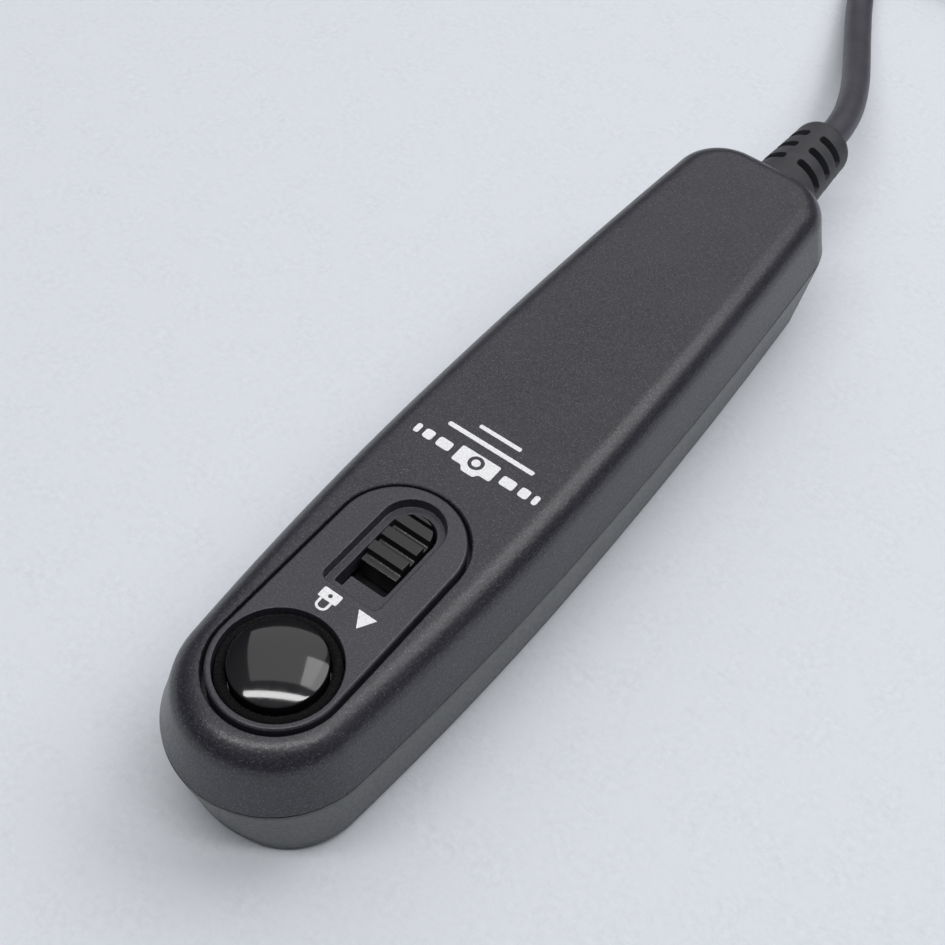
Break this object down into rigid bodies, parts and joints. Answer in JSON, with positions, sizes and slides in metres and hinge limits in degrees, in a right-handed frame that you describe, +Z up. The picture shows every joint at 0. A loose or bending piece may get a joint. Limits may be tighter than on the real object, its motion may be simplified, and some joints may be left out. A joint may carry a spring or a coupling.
{
  "type": "cable shutter release",
  "caption": "Handheld wired shutter release: slim black case, domed two-stage button, sliding lock, moulded strain relief, thin cable with a flat plug.",
  "frame": {"origin": "on the surface the case rests on, under the middle of the case and its strain relief", "axes": "+Y along the case from the button end to the cable end, +Z up out of the button, +X to the right when the cable points away"},
  "size_m": [0.0344, 0.2335, 0.0183],
  "materials": {
    "grained_case": "fine sparkle grain, satin black",
    "satin_case": "smooth satin black",
    "panel": "fine matt grain, black",
    "button": "mirror-gloss black dome",
    "button_felt": "short black pile",
    "knob": "ribbed satin black",
    "boot_rubber": "matt dark grey rubber",
    "cable_jacket": "satin dark grey jacket",
    "screw_steel": "blackened steel",
    "spring_steel": "bright spring steel",
    "contact_bronze": "bright phosphor bronze",
    "board": "green laminate",
    "moulding": "natural moulding, satin",
    "wire_red": "insulation",
    "wire_white": "insulation",
    "wire_blue": "insulation",
    "plug_plating": "bright nickel plating",
    "tie_fabric": "woven hook and loop strip, black"
  },
  "bodies": {
    "case": {"upper_shell": "grained_case", "lower_shell": "satin_case", "control_panel": "panel", "button_seal": "button_felt", "button_guide": "moulding", "button_return_spring": "spring_steel", "lock_detent_spring": "spring_steel", "contact_leaf_full_press": "contact_bronze", "contact_block": "moulding", "circuit_board": "board", "board_screw_left": "screw_steel", "board_screw_right": "screw_steel", "case_screw_front": "screw_steel", "case_screw_rear": "screw_steel", "strain_relief_boot": "boot_rubber", "inner_cable": "cable_jacket", "cord_clamp": "moulding", "wire_common": "wire_red", "wire_half_press": "wire_white", "wire_full_press": "wire_blue", "cable_lead": "cable_jacket", "cable_hank": "cable_jacket", "cable_tail": "cable_jacket", "hank_tie": "tie_fabric", "plug_strain_relief": "boot_rubber", "plug_body": "satin_case", "plug_shell": "plug_plating", "plug_contact_tongue": "satin_case"},
    "shutter_button": {"shutter_button": "button"},
    "lock_slider": {"lock_slider": "knob", "lock_latch_plate": "spring_steel"},
    "contact_leaf_common": {"contact_leaf_common": "contact_bronze"},
    "contact_leaf_half_press": {"contact_leaf_half_press": "contact_bronze"}
  },
  "joints": [
    {"name": "button_press", "type": "slide", "parent": "case", "child": "shutter_button", "axis": [0, 0, -1], "range_m": [0, 0.0012], "stiffness_N_per_m": 500, "springref_m": -0.0004, "deforming": ["button_return_spring"]},
    {"name": "lock_slide", "type": "slide", "parent": "case", "child": "lock_slider", "axis": [0, -1, 0], "range_m": [0, 0.0018]},
    {"name": "leaf_common_bend", "type": "hinge", "parent": "case", "child": "contact_leaf_common", "pos_m": [0, -0.02655, 0.0107], "axis": [1, 0, 0], "range_deg": [0, 4.3]},
    {"name": "leaf_half_press_bend", "type": "hinge", "parent": "case", "child": "contact_leaf_half_press", "pos_m": [0, -0.02655, 0.0094], "axis": [1, 0, 0], "range_deg": [0, 2]}
  ],
  "couplings": [
    {"joint": "leaf_common_bend", "follows": "button_press", "rad_per_m": 61.35},
    {"joint": "leaf_half_press_bend", "follows": "button_press", "rad_per_m": 28.1}
  ]
}
